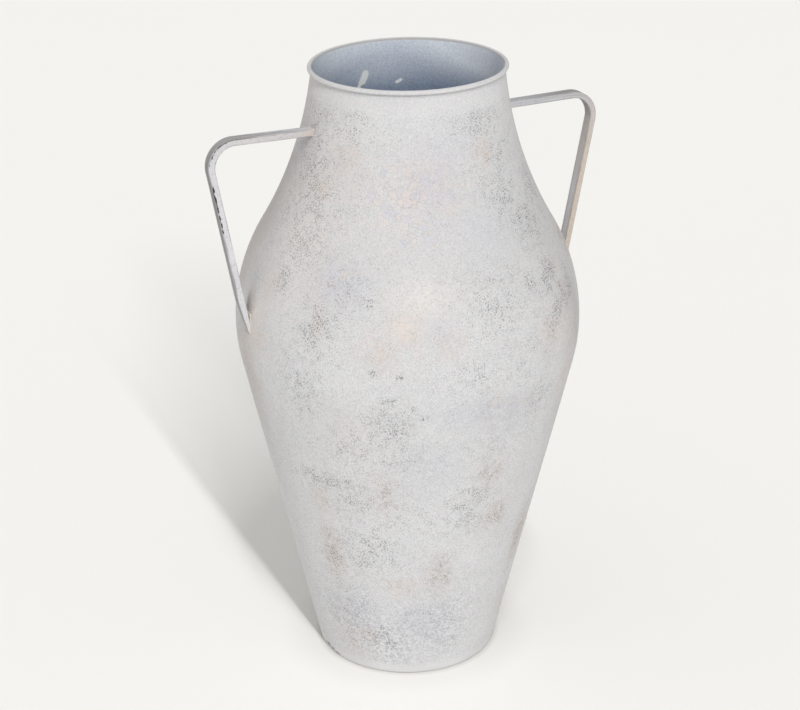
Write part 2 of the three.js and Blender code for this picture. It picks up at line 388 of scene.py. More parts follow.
# %% Sponged chalk paint
def sponged_chalk_paint():
    material, tree, place = start_finish("sponged chalk paint")
    stipple, peach, cream, lavender, leather, flaked, sprayed, dirt_and_shade = [
        add(tree, "ShaderNodeAttribute", attribute_name=name).node.outputs["Fac"]
        for name in ("stipple", "peach", "cream", "lavender", "leather", "flaked", "sprayed", "dirt_and_shade")
    ]
    # Grain of 1.2 mm, sponge blots of 7 mm, patches of 3.2 mm and clouds of 40 mm. Real spray is finer; the
    # grain is drawn as coarse as it needs to show.
    grain, blots, patches, clouds = [
        add(
            tree,
            "ShaderNodeTexNoise",
            {"Vector": place, "Scale": 1 / (size * MM), "Detail": 2.0, "Roughness": 0.6, "Distortion": twist},
        )
        for size, twist in ((1.2, 0.0), (7, 0.3), (3.2, 0.6), (40, 0.0))
    ]
    colour = sprayed_coat(tree, place, grain, patches, clouds, sprayed)

    # Peach, cream and lavender lie in broken patches, and spots of grey where the coat dried thick. The spots
    # are about 3 mm apart.
    broken = add(
        tree, "ShaderNodeMapRange", {"Value": patches, "From Min": 0.38, "From Max": 0.62, "To Min": 0.15}
    )
    cells = {"Vector": place, "Scale": 1 / (3 * MM)}
    from_middle = add(tree, "ShaderNodeTexVoronoi", cells, feature="F1").node.outputs["Distance"]
    spotted = add(tree, "ShaderNodeMapRange", {"Value": from_middle, "From Min": 0.5, "From Max": 0.36})
    for cover, pattern, tint in (
        (peach, broken, "#C5B8B0"),
        (cream, broken, "#DCD3CC"),
        (lavender, broken, "#B4B5C2"),
        (leather, spotted, "#A9A9B1"),
    ):
        share = add(tree, "ShaderNodeMath", {0: cover, 1: pattern}, operation="MULTIPLY")
        colour = add(
            tree, "ShaderNodeMix", {"Factor": share, "A": colour, "B": linear(tint)}, data_type="RGBA"
        )
    colour = with_flakes(tree, place, colour, blots, flaked)
    colour = with_pits(tree, place, colour, blots, stipple, peach)
    # Chips at the foot are dark iron. The rest of this dark tone is painted shade: under each leg, down the
    # flanks, just inside the top of the rim and along the edge of the foot.
    colour = add(
        tree, "ShaderNodeMix", {"Factor": dirt_and_shade, "A": colour, "B": linear("#4E4740")}, data_type="RGBA"
    )
    roughness = add(tree, "ShaderNodeMapRange", {"Value": clouds, "To Min": 0.56, "To Max": 0.74})
    close_finish(tree, colour, roughness, grain, 0.05 * MM, **{"Specular IOR Level": 0.35})
    return material


paint = sponged_chalk_paint()
print("finish:", paint.name)

# %% [markdown]
# ## Sprayed primer
#
# Inside, the sheet has only its blue-grey primer, sprayed in through the mouth in a dry mist that leaves fine
# light and dark grain. The primer is painted lighter near the mouth, most of all on the right wall, and darker
# further down: painted light and shade inside the neck. Some strokes of pale paint have strayed in, opposite
# the viewer: three brush tracks side by side and a flick. Each is a line on the wall, from one bearing and
# height to another, with a half width in millimetres, and the finish measures how far a place is from it. They
# could be painted on the mesh, but a mesh fine enough to carry such thin marks would be needlessly heavy.

# %% Strokes of paint inside the neck
strokes = [
    (184.4, 459, 180.9, 472.5, 2.0), (182.8, 464, 180.7, 472, 3.4), (180.9, 463, 179, 470.5, 1.2),
    (161, 462, 158.8, 464, 1.9),
]


def wall_point(bearing, z):
    """A point on the inner face of the sheet, from degrees and millimetres."""
    return towards(math.radians(bearing)) * float(body_radius(z * MM) - sheet) + Vector((0, 0, z * MM))


def stroke_cover(tree, place, from_bearing, from_z, to_bearing, to_z, half_width):
    """How fully a stroke covers a place: the place's distance from a line, against the half width."""
    start = wall_point(from_bearing, from_z)
    way = wall_point(to_bearing, to_z) - start
    offset = add(tree, "ShaderNodeVectorMath", {0: place, 1: start}, operation="SUBTRACT")
    reach = add(
        tree, "ShaderNodeVectorMath", {0: offset, 1: way / way.length_squared}, operation="DOT_PRODUCT"
    )
    share = add(tree, "ShaderNodeClamp", {"Value": reach})
    nearest = add(tree, "ShaderNodeVectorMath", {0: way, "Scale": share}, operation="SCALE")
    away = add(tree, "ShaderNodeVectorMath", {0: offset, 1: nearest}, operation="DISTANCE")
    return add(
        tree,
        "ShaderNodeMapRange",
        {"Value": away, "From Min": half_width * MM, "From Max": 0.5 * half_width * MM},
    )


print("strokes inside the neck:", len(strokes))

# %% Sprayed primer
def sprayed_primer():
    material, tree, place = start_finish("sprayed primer")
    # Mist of 1.4 mm, drawn as coarse as it needs to show, and ragged stroke edges of 2.5 mm
    mist, rags = [
        add(tree, "ShaderNodeTexNoise", {"Vector": place, "Scale": 1 / (size * MM), "Detail": 3.0})
        for size in (1.4, 2.5)
    ]
    # Lighter near the mouth and on the right wall, darker deeper in: painted light and shade.
    wall_light = add(tree, "ShaderNodeAttribute", attribute_name="wall_light").node.outputs["Fac"]
    depth = add(tree, "ShaderNodeSeparateXYZ", {"Vector": place}).node.outputs["Z"]
    mouth_light = add(tree, "ShaderNodeMapRange", {"Value": depth, "From Min": 458 * MM, "From Max": 512 * MM})
    reach = add(tree, "ShaderNodeMath", {0: mouth_light, 1: wall_light})
    thin, thick = [
        add(
            tree, "ShaderNodeMix", {"Factor": reach, "A": linear(deep), "B": linear(near)}, data_type="RGBA"
        )
        for deep, near in (("#7A899F", "#DAE1EC"), ("#96A4B9", "#F6FAFF"))
    ]
    mist_share = add(tree, "ShaderNodeMapRange", {"Value": mist, "From Min": 0.3, "From Max": 0.7})
    coat = add(tree, "ShaderNodeMix", {"Factor": mist_share, "A": thin, "B": thick}, data_type="RGBA")

    # The strokes, with their edges pushed about by noise, to and fro alike
    rag = 1.6 * MM
    rag_size = (rag, rag, rag)
    pushed = add(
        tree,
        "ShaderNodeVectorMath",
        {0: rags.node.outputs["Color"], 1: rag_size, 2: place},
        operation="MULTIPLY_ADD",
    )
    ragged = add(tree, "ShaderNodeVectorMath", {0: pushed, 1: (-rag / 2, -rag / 2, -rag / 2)})
    smear = stroke_cover(tree, ragged, *strokes[0])
    for stroke in strokes[1:]:
        cover = stroke_cover(tree, ragged, *stroke)
        smear = add(tree, "ShaderNodeMath", {0: smear, 1: cover}, operation="MAXIMUM")
    colour = add(
        tree, "ShaderNodeMix", {"Factor": smear, "A": coat, "B": linear("#F3F4F3")}, data_type="RGBA"
    )
    roughness = add(tree, "ShaderNodeMapRange", {"Value": mist, "To Min": 0.5, "To Max": 0.75})
    close_finish(tree, colour, roughness, mist, 0.04 * MM, **{"Specular IOR Level": 0.3})
    return material


primer = sprayed_primer()
print("finish:", primer.name)

# %% [markdown]
# ## Drawn steel wire
#
# The wire in the rim is bare steel, dulled here and there by tarnish, with fine scratches from the drawing
# die. The scratches could be stretched along the wire, but the curl of the sheet hides nearly all of it, so a
# plain noise stands for them, drawn coarser than they are.

# %% Drawn steel wire
def drawn_steel():
    material, tree, place = start_finish("drawn steel wire")
    # Scratches of 0.8 mm and tarnish of 20 mm
    scratches = add(tree, "ShaderNodeTexNoise", {"Vector": place, "Scale": 1 / (0.8 * MM), "Detail": 2.0})
    tarnish = add(tree, "ShaderNodeTexNoise", {"Vector": place, "Scale": 1 / (20 * MM), "Detail": 3.0})
    colour = add(
        tree,
        "ShaderNodeMix",
        {"Factor": tarnish, "A": linear("#8E9093"), "B": linear("#5F5B57")},
        data_type="RGBA",
    )
    roughness = add(tree, "ShaderNodeMapRange", {"Value": tarnish, "To Min": 0.3, "To Max": 0.6})
    close_finish(tree, colour, roughness, scratches, 0.02 * MM, Metallic=1.0)
    return material


wire_steel = drawn_steel()
print("finish:", wire_steel.name)

# %% [markdown]
# ## A tree that turns a section
#
# Six pieces are rings or discs about the axis: the two shells, the wire, the bottom and the two ring welds.
# Each could be spun in edit mode, but one Geometry Nodes tree makes them all, as a lathe would, and its sizes
# can be changed later. It reads a section drawn as a line of points, lays out a grid with one row for each
# point and bends each row round into a ring. Slow dents keep the sheet from looking machined, ripples make a
# weld, and the rim may lean a little, as it does on the real vase.

# %% Moves of the turned mesh
def dent_move(tree, given, position, outwards):
    """Dents move both faces of the sheet in or out together."""
    bend = add(tree, "ShaderNodeMath", {0: 1.0, 1: given["Dent Spacing"]}, operation="DIVIDE")
    waves = add(
        tree,
        "ShaderNodeTexNoise",
        {"Vector": position, "W": given["Seed"], "Scale": bend, "Detail": 1.0},
        noise_dimensions="4D",
    )
    dent = add(tree, "ShaderNodeMapRange", {"Value": waves, "To Min": -1.0, "To Max": 1.0})
    depth = add(tree, "ShaderNodeMath", {0: dent, 1: given["Dent Depth"]}, operation="MULTIPLY")
    return add(tree, "ShaderNodeVectorMath", {0: outwards, "Scale": depth}, operation="SCALE")


def lean_move(tree, given, axis, outwards):
    """The rim leans: one side rises and the other drops, easing in from Lift Start."""
    eased = add(
        tree,
        "ShaderNodeMapRange",
        {"Value": axis["Z"], "From Min": given["Lift Start"], "From Max": given["Lift End"]},
        interpolation_type="SMOOTHSTEP",
    )
    bearing = add(
        tree,
        "ShaderNodeVectorRotate",
        {"Vector": outwards, "Angle": given["Rim Lift Bearing"]},
        rotation_type="Z_AXIS",
        invert=True,
    )
    leaning = add(tree, "ShaderNodeSeparateXYZ", {"Vector": bearing})
    lean = add(tree, "ShaderNodeMath", {0: leaning, 1: eased}, operation="MULTIPLY")
    lift = add(tree, "ShaderNodeMath", {0: lean, 1: given["Rim Lift"]}, operation="MULTIPLY")
    return add(tree, "ShaderNodeCombineXYZ", {"Z": lift})


def ripple_move(tree, given, axis):
    """Ripples sink the crown of a weld more and more along each run, and trail off at its toes."""
    toe_lag = 0.45
    run_curve = 2.0
    turn = add(tree, "ShaderNodeMath", {0: axis["Y"], 1: axis["X"]}, operation="ARCTAN2")
    ripple_rate = add(tree, "ShaderNodeMath", {0: given["Ripples"], 1: math.tau}, operation="DIVIDE")
    runs = add(tree, "ShaderNodeMath", {0: turn, 1: ripple_rate}, operation="MULTIPLY")
    crown = add(tree, "GeometryNodeInputNamedAttribute", {"Name": "crown"}, data_type="FLOAT")
    trail = add(tree, "ShaderNodeMath", {0: crown, 1: toe_lag, 2: runs}, operation="MULTIPLY_ADD")
    step = add(tree, "ShaderNodeMath", {0: trail}, operation="FRACT")
    sink = add(tree, "ShaderNodeMath", {0: step, 1: run_curve}, operation="POWER")
    crowned = add(tree, "ShaderNodeMath", {0: sink, 1: crown}, operation="MULTIPLY")
    depth = add(tree, "ShaderNodeMath", {0: crowned, 1: given["Ripple Depth"]}, operation="MULTIPLY")
    inwards = add(tree, "ShaderNodeMath", {0: depth, 1: -1.0}, operation="MULTIPLY")
    facing = add(tree, "GeometryNodeInputNormal")
    return add(tree, "ShaderNodeVectorMath", {0: facing, "Scale": inwards}, operation="SCALE")


turning_inputs = {
    "Section": "Geometry",
    "Facets": "Int",
    "Dent Depth": "Float",
    "Dent Spacing": "Float",
    "Ripples": "Int",
    "Ripple Depth": "Float",
    "Rim Lift": "Float",
    "Rim Lift Bearing": "Float",
    "Lift Start": "Float",
    "Lift End": "Float",
    "Seed": "Int",
    "Outside Finish": "Material",
    "Inside Finish": "Material",
}
print("inputs:", ", ".join(turning_inputs))

# %% The turning tree
def turning_tree():
    tree = bpy.data.node_groups.new("turned section", "GeometryNodeTree")
    for name, kind in turning_inputs.items():
        tree.interface.new_socket(name, in_out="INPUT", socket_type="NodeSocket" + kind)
    tree.interface.new_socket("Turned", in_out="OUTPUT", socket_type="NodeSocketGeometry")
    given = {s.name: s for s in tree.nodes.new("NodeGroupInput").outputs}
    position = add(tree, "GeometryNodeInputPosition")

    # A grid with a row for each point of the section and a column for each facet
    rows = add(tree, "GeometryNodeAttributeDomainSize", {"Geometry": given["Section"]}, component="MESH")
    columns = add(tree, "ShaderNodeMath", {0: given["Facets"], 1: 1.0})
    grid = add(tree, "GeometryNodeMeshGrid", {"Vertices X": rows, "Vertices Y": columns})
    index = add(tree, "GeometryNodeInputIndex")
    shares = add(tree, "ShaderNodeMath", {0: index, 1: columns}, operation="DIVIDE")
    row = add(tree, "ShaderNodeMath", {0: shares}, operation="FLOOR")
    part_turn = add(tree, "ShaderNodeMath", {0: index, 1: columns}, operation="MODULO")
    facet_angle = add(tree, "ShaderNodeMath", {0: math.tau, 1: given["Facets"]}, operation="DIVIDE")
    angle = add(tree, "ShaderNodeMath", {0: part_turn, 1: facet_angle}, operation="MULTIPLY")
    section = {"Geometry": given["Section"], "Index": row}
    point = add(tree, "GeometryNodeSampleIndex", {**section, "Value": position}, data_type="FLOAT_VECTOR")
    turned = add(tree, "ShaderNodeVectorRotate", {"Vector": point, "Angle": angle}, rotation_type="Z_AXIS")
    facing_out = add(tree, "GeometryNodeFlipFaces", {"Mesh": grid})
    made = add(tree, "GeometryNodeSetPosition", {"Geometry": facing_out, "Position": turned})
    for name in ("inside", "crown"):
        mark = add(tree, "GeometryNodeInputNamedAttribute", {"Name": name}, data_type="FLOAT")
        sampled = add(tree, "GeometryNodeSampleIndex", {**section, "Value": mark}, data_type="FLOAT")
        stored = {"Geometry": made, "Name": name, "Value": sampled}
        made = add(tree, "GeometryNodeStoreNamedAttribute", stored, data_type="FLOAT", domain="POINT")
    made = add(tree, "GeometryNodeMergeByDistance", {"Geometry": made, "Distance": 0.001 * MM})

    # Dents, lean and ripples move it together
    axis = add(tree, "ShaderNodeSeparateXYZ", {"Vector": position}).node.outputs
    flat = add(tree, "ShaderNodeVectorMath", {0: position, 1: (1.0, 1.0, 0.0)}, operation="MULTIPLY")
    outwards = add(tree, "ShaderNodeVectorMath", {0: flat}, operation="NORMALIZE")
    dented = dent_move(tree, given, position, outwards)
    lifted = lean_move(tree, given, axis, outwards)
    moved = add(tree, "ShaderNodeVectorMath", {0: dented, 1: lifted})
    offset = add(tree, "ShaderNodeVectorMath", {0: moved, 1: ripple_move(tree, given, axis)})
    made = add(tree, "GeometryNodeSetPosition", {"Geometry": made, "Offset": offset})
    made = add(tree, "GeometryNodeSetShadeSmooth", {"Geometry": made, "Shade Smooth": True})
    made = add(tree, "GeometryNodeRealizeInstances", {"Geometry": made})

    # It gets its two finishes: a face is inside when most of its corners are
    most = 0.6
    made = add(tree, "GeometryNodeSetMaterial", {"Geometry": made, "Material": given["Outside Finish"]})
    inside = add(tree, "GeometryNodeInputNamedAttribute", {"Name": "inside"}, data_type="FLOAT")
    inner = add(tree, "ShaderNodeMath", {0: inside, 1: most}, operation="GREATER_THAN")
    made = add(
        tree,
        "GeometryNodeSetMaterial",
        {"Geometry": made, "Selection": inner, "Material": given["Inside Finish"]},
    )
    add(tree, "NodeGroupOutput", {"Turned": made})
    return tree


turning = turning_tree()
print("tree:", turning.name, "with", len(turning.nodes), "nodes")

# %% Running the tree on a section
rim_lift = 1.2 * MM
rim_lift_bearing = math.radians(64.6)


def turned_piece(name, section, facets, outside, inside, **sizes):
    """Turns a section of (radius, height, inside, crown) points into a finished mesh at the origin."""
    mesh = bpy.data.meshes.new(name)
    mesh.from_pydata([(r, 0, z) for r, z, _, _ in section], [], [])
    for column, attribute in ((2, "inside"), (3, "crown")):
        values = mesh.attributes.new(attribute, "FLOAT", "POINT").data
        values.foreach_set("value", [point[column] for point in section])
    piece = bpy.data.objects.new(name, mesh)
    scene.collection.objects.link(piece)
    modifier = piece.modifiers.new("turning", "NODES")
    modifier.node_group = turning
    values = {
        "Facets": facets,
        "Dent Spacing": 90 * MM,
        "Rim Lift": rim_lift,
        "Rim Lift Bearing": rim_lift_bearing - upright,
        "Lift Start": 420 * MM,
        "Lift End": height,
        "Seed": 7,
        "Outside Finish": outside,
        "Inside Finish": inside,
        **sizes,
    }
    for item in turning.interface.items_tree:
        if item.name in values:
            modifier[item.identifier] = values[item.name]
    evaluated = piece.evaluated_get(bpy.context.evaluated_depsgraph_get())
    piece.data = bpy.data.meshes.new_from_object(evaluated)
    piece.modifiers.clear()
    print(name, len(piece.data.polygons), "faces")
    return piece


print("rim leans by", rim_lift, "m towards a bearing of", round(math.degrees(rim_lift_bearing), 1), "degrees")

# %% The two shells
def sheet_section(stations):
    """The closed section of a strip of sheet whose outside face follows the stations."""
    # The curl of the rim brings the inner face of the sheet round to the outside, where it is painted.
    below_curl = height - 2 * bead_radius
    outer = [(r, z, 0.0, 0.0) for r, z in beside(stations, 0)]
    inside = [float(z < below_curl or h > upright) for _, z, h in stations]
    inner = [(r, z, share, 0.0) for (r, z), share in zip(beside(stations, sheet), inside)]
    return outer + inner[::-1] + outer[:1]


def fit(piece, slot, *nodes):
    """Puts a finished piece on the vase in place of its solids."""
    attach(piece, "root")
    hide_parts(*nodes)


shell_facets = 288
dent_depth = 0.35 * MM
shells = {}
for name, path in (("belly_shell", belly_path), ("neck_shell", neck_path)):
    shells[name] = turned_piece(
        name + "_sheet", sheet_section(path), shell_facets, paint, primer, **{"Dent Depth": dent_depth}
    )
    fit(shells[name], "body_paint", name)

# %% [markdown]
# ## Where the dabs lie
#
# A sponge leaves its mark in dabs of about 20 to 40 mm. Those that catch the eye are listed, each with its
# bearing in degrees, its height and half sizes in millimetres and its strength. Besides stipple and coloured
# clouds there are rusty dabs that are both, leathery spots near the foot, flakes on the shoulder, and dirt
# and painted shade: chips at the foot, painted shade in the crevice under each leg and a faint warm painted
# shade down the flanks. The back, which nobody has seen, gets dabs of the same kind from a seeded draw. Dabs
# could also be brushed on in vertex paint, but as numbers they can be read, moved and mixed.

# %% Dabs listed one by one
stipple_dabs = [
    (-56, 328, 15, 20, 0.85), (46, 336, 5, 10, 1.7), (40, 331, 6, 9, 1.8), (34, 325, 7, 9, 1.5),
    (35, 354, 7, 10, 1.5), (31, 349, 7, 8, 1.1), (22, 356, 6, 8, 0.9), (23, 340, 7, 14, 0.5),
    (29, 316, 12, 9, 0.6), (-75, 380, 9, 8, 1.1), (-74, 354, 8, 10, 1.0), (23, 414, 15, 13, 0.9),
    (51, 408, 12, 17, 0.9), (18, 470, 20, 12, 0.7), (-62, 471, 22, 16, 0.5), (-70, 386, 24, 24, 0.55),
    (-31, 252, 16, 16, 0.8), (-86, 464, 26, 24, 0.6), (-74, 412, 26, 24, 0.65), (26, 446, 20, 18, 0.5),
    (35, 392, 18, 16, 0.8), (6, 346, 26, 20, 0.5), (-48, 360, 18, 16, 0.4), (-62, 280, 18, 24, 0.6),
    (0, 178, 20, 16, 0.7), (-1, 158, 18, 14, 0.7), (-42, 131, 22, 22, 0.8), (-57, 60, 26, 26, 0.5),
    (-46, 38, 26, 16, 0.6), (-8, 66, 30, 24, 0.3), (-9, 36, 34, 16, 0.2), (-56, 192, 30, 10, 0.8),
    (-28, 228, 22, 18, 0.5), (-46, 228, 20, 18, 0.5), (-48, 178, 22, 16, 0.5), (25, 260, 16, 20, 0.5),
    (-2, 292, 22, 18, 0.4), (12, 300, 30, 30, 0.3), (-24, 165, 24, 20, 0.35), (60, 359, 9, 14, 0.8),
    (-82, 438, 26, 24, 0.65), (-88, 402, 18, 22, 0.4), (8, 222, 24, 18, 0.3),
]
# Most are peach patches. The long dabs down the left flank, at bearings -91 to -108, are partly peach and
# partly painted shade that darkens the flank towards its outline.
peach_dabs = [
    (-26, 334, 14, 14, 0.8), (-18, 432, 22, 18, 0.6), (-12, 322, 12, 10, 0.6), (-34, 316, 14, 12, 0.7),
    (29, 311, 14, 14, 0.7), (17, 449, 8, 10, 0.8), (-27, 94, 14, 10, 0.7), (-48, 39, 10, 8, 0.6),
    (41, 46, 10, 14, 0.4), (-59, 446, 14, 14, 0.6), (-90, 420, 14, 16, 0.6), (-63, 170, 10, 14, 0.6),
    (-60, 30, 12, 20, 0.5), (-84, 305, 12, 16, 0.9), (-96, 440, 24, 50, 0.5), (-108, 360, 22, 60, 0.8),
    (-98, 250, 20, 60, 0.5), (61, 356, 10, 16, 0.9), (48, 300, 12, 20, 0.5), (-70, 424, 9, 8, 0.8),
    (-80, 345, 8, 10, 0.8), (-56, 331, 6, 12, 0.4), (40, 290, 12, 50, 0.7), (-91, 285, 16, 40, 0.8),
]
rust_dabs = [
    (7, 200, 12, 12, 0.6), (14, 156, 10, 12, 0.8), (39, 116, 10, 22, 0.9), (-34, 187, 9, 20, 0.5),
    (-61, 118, 10, 24, 0.8), (-10, 105, 9, 16, 0.7),
]
peach_dabs += rust_dabs
stipple_dabs += rust_dabs
dots = [(-28, 298), (-33, 277), (-20, 264), (-38, 351), (-30, 279), (-46, 357), (-36, 300), (-24, 271)]
dot_size = (2.5, 2, 1.6)
stipple_dabs += [(*dot, *dot_size) for dot in dots]
# The first three are chips at the foot, showing dark iron. The two narrow dabs at bearings -92 and 88 are
# painted shade in the crevice under each leg, and the long faint ones are painted shade down the flanks.
dirt_and_shade_dabs = [
    (-87, 4.5, 3, 1.5, 0.9), (-82, 3.5, 2, 1.2, 0.9), (-77, 2, 3, 1, 0.7), (-92, 321, 2.5, 9, 0.75),
    (88, 321, 2.5, 9, 0.75), (-106, 385, 24, 60, 0.18), (-96, 255, 22, 60, 0.1), (49, 312, 18, 45, 0.2),
    (52, 215, 20, 50, 0.06),
]
# The strong cream dab at bearing -87, beside the left foot, is painted light that lifts the shade between the
# leg and the body.
cream_dabs = [
    (-20, 354, 20, 12, 0.6), (-26, 336, 9, 9, 0.6), (-45, 240, 20, 30, 0.3), (-87, 322, 10, 16, 1.0),
    (-72, 385, 32, 46, 0.55),
]
leather_dabs = [
    (-60, 50, 24, 34, 0.6), (-36, 34, 24, 26, 0.75), (-6, 50, 22, 26, 0.65), (-22, 54, 24, 20, 0.55),
]
flake_dabs = [
    (-26, 424, 34, 22, 0.75), (-22, 398, 26, 14, 0.6), (-50, 361, 16, 14, 0.5), (8, 262, 22, 14, 0.5),
]
# Painted light on the inner wall of the neck, most of all on the right.
wall_light_dabs = [(98, 491, 44, 18, 0.85), (-151, 490, 44, 14, 0.25), (174, 470, 30, 14, 0.2)]
lavender_dabs = [
    (-10, 264, 14, 12, 0.5), (0, 264, 12, 10, 0.6), (12, 253, 14, 14, 0.5), (-50, 361, 18, 14, 0.5),
    (-15, 333, 10, 10, 0.4), (-98, 438, 16, 16, 0.5), (-17, 213, 24, 20, 0.3), (-16, 58, 22, 14, 0.5),
    (-51, 64, 18, 18, 0.4), (-8, 455, 24, 16, 0.4), (8, 395, 22, 18, 0.4), (-14, 428, 16, 14, 0.6),
]
print("dabs:", len(stipple_dabs), "stipple,", len(peach_dabs), "peach and", len(lavender_dabs), "lavender")

# %% Painting the dabs on the shells
# The limits between which a dab's bearing, height, half sizes and strength are drawn
back_range = ((66, 250), (25, 475), (9, 26), (9, 24), (0.4, 1.0))


def back_dabs(seed, count, strength):
    """Dabs for the back of the vase, from a seeded draw."""
    draw = random.Random(seed)
    drawn = [[draw.uniform(*limits) for limits in back_range] for _ in range(count)]
    return [(*dab, share * strength) for *dab, share in drawn]


def dabbed(bearings, heights, radii, dabs):
    """How strongly the dabs cover each vertex. A dab keeps about half its strength at its half size."""
    fading = 0.8
    cover = np.zeros(len(bearings))
    for bearing, z, half_width, half_height, strength in dabs:
        around = (bearings - math.radians(bearing) + math.pi) % math.tau - math.pi
        away = (around * radii / (half_width * MM)) ** 2 + ((heights - z * MM) / (half_height * MM)) ** 2
        cover = np.maximum(cover, strength * np.exp(-fading * away))
    return cover


def vertex_places(mesh):
    """Bearing, height and radius of every vertex."""
    points = np.zeros(3 * len(mesh.vertices))
    mesh.vertices.foreach_get("co", points)
    x, y, z = points.reshape(-1, 3).T
    return np.arctan2(x, -y), z, np.hypot(x, y)


def paint_attribute(mesh, name, values):
    """Stores a number or a vector for each vertex, for a finish to read."""
    kind, field = ("FLOAT", "value") if values.ndim == 1 else ("FLOAT_VECTOR", "vector")
    mesh.attributes.new(name, kind, "POINT").data.foreach_set(field, values.astype(np.float32).ravel())


marks = {
    "stipple": stipple_dabs + back_dabs(3, 34, 1.0),
    "peach": peach_dabs + back_dabs(5, 18, 1.0),
    "lavender": lavender_dabs + back_dabs(9, 14, 0.6),
    "cream": cream_dabs,
    "leather": leather_dabs + back_dabs(13, 8, 0.5),
    "flaked": flake_dabs,
    "wall_light": wall_light_dabs,
    "dirt_and_shade": dirt_and_shade_dabs,
}
base_stipple = 0.42
grainy_heights = [5 * MM, 11 * MM, 479 * MM, 487 * MM]
rim_grain = 0.8
rim_shade = 0.36
rim_shade_drop = 0.95 * MM
rim_shade_half_width = 0.5 * MM
rim_shade_radius = bead_centre[0] + 0.2 * MM
foot_shade = 0.06
foot_edge = 1.6 * MM
for piece in shells.values():
    bearings, heights, radii = vertex_places(piece.data)
    cover = {name: dabbed(bearings, heights, radii, dabs) for name, dabs in marks.items()}

    # The foot has no grain or stipple and the rim no stipple
    bands = np.interp(heights, grainy_heights, [0, 1, 1, 0])
    cover["stipple"] = (base_stipple + cover["stipple"]) * bands
    cover["leather"] *= bands
    cover["sprayed"] = np.maximum(bands, rim_grain * (heights > girth_height))

    # A painted shade lies just inside the top of the bead, which leans with the rim, most on the side away from
    # the camera. A little painted shade lies on the edge of the foot, where it stands on the floor.
    below_top = height - heights + rim_lift * np.cos(bearings - rim_lift_bearing)
    behind = 0.55 - 0.45 * np.cos(bearings - camera_bearing)
    crown = (radii < rim_shade_radius) & (np.abs(below_top - rim_shade_drop) < rim_shade_half_width)
    footing = np.clip(1 - heights / foot_edge, 0, 1)
    cover["dirt_and_shade"] = np.maximum.reduce((rim_shade * behind * crown, foot_shade * footing, cover["dirt_and_shade"]))
    for name, values in cover.items():
        paint_attribute(piece.data, name, values)
    print(piece.name, "painted with", ", ".join(cover))

# %% [markdown]
# ## Wire, bottom and ring welds
#
# These are turned by the same tree. The bottom is a flat disc of sheet. Each ring weld is a low bead whose
# crown has the ripples of a weld laid in short runs. Ripples could be a bump in the finish, but the beads
# stand in raking light, where only a real shape looks right.

# %% Wire and bottom
wire_radius = 0.8 * MM
wire_sides = 14
wire_facets = 192
wire_section = [
    (
        bead_centre[0] + wire_radius * math.cos(math.tau * i / wire_sides),
        bead_centre[1] + wire_radius * math.sin(math.tau * i / wire_sides),
        0.0,
        0.0,
    )
    for i in range(wire_sides + 1)
]
wire = turned_piece("rim_wire_steel", wire_section, wire_facets, wire_steel, wire_steel)
fit(wire, "rim_steel", "rim_wire")

disc_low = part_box("base_disc")[0].z
disc_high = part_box("base_disc")[1].z
disc_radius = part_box("base_disc")[1].x
disc_facets = 128
disc_rings = np.linspace(0, disc_radius, 25).tolist()
disc_section = [(r, disc_low, 1.0, 0.0) for r in disc_rings]
disc_section += [(r, disc_high, 1.0, 0.0) for r in reversed(disc_rings)]
disc = turned_piece("base_disc_sheet", disc_section, disc_facets, primer, primer)
fit(disc, "inside_primer", "base_disc")

# %% Ring welds
def bead_section(seat_start, seat_end, bulge, steps):
    """A closed bead over a straight seat, bulging to the left of the way from its start to its end."""
    start, end = Vector(seat_start), Vector(seat_end)
    middle, half = (start + end) / 2, (end - start) / 2
    left = Vector((-half.y, half.x)).normalized() * bulge
    turns = [math.pi * i / steps for i in range(steps + 1)]
    crown = [middle - half * math.cos(t) + left * math.sin(t) for t in turns]
    points = [(p.x, p.y, 1.0, math.sin(t)) for p, t in zip(crown, turns)]
    return points[:1] + points[::-1]


ripple_pitch = 3.2 * MM
ripple_depth = 0.5 * MM
ripple_facets = 6
weld_gap = 0.1 * MM
girth_leg = 2.5 * MM
girth_seat = girth_radius - sheet - weld_gap
girth_section = bead_section(
    (girth_seat, girth_height - girth_leg), (girth_seat, girth_height + girth_leg), bulge=1.5 * MM, steps=8
)
wall_foot = base_radius - (sheet + weld_gap) / math.sin(cone_heading)
wall_slope = math.cos(cone_heading) / math.sin(cone_heading)
base_leg = 3.4 * MM
base_section = bead_section(
    (wall_foot + wall_slope * disc_high - base_leg, disc_high),
    (wall_foot + wall_slope * (disc_high + base_leg), disc_high + base_leg),
    bulge=1.0 * MM,
    steps=8,
)
for name, section, radius in (
    ("girth_weld", girth_section, girth_radius),
    ("base_weld", base_section, base_radius),
):
    ripples = round(math.tau * radius / ripple_pitch)
    rippled = {"Ripples": ripples, "Ripple Depth": ripple_depth}
    bead = turned_piece(name + "_bead", section, ripple_facets * ripples, primer, primer, **rippled)
    fit(bead, "inside_primer", name)

# %% [markdown]
# ## Rubbed bar paint
#
# The handles carry the same pale paint, but hands and the weather have rubbed it. The broad faces have gone
# streaky with grime, the narrow ones stay pale or turn beige, the edges are rubbed brown and chips along one
# of them show the dark iron. Streaks and chips run along the bar and round its bend. A pattern in space would
# cut straight across, so theirs is laid out by the distance along the bar and the place in its section, which
# the mesh carries as an attribute.

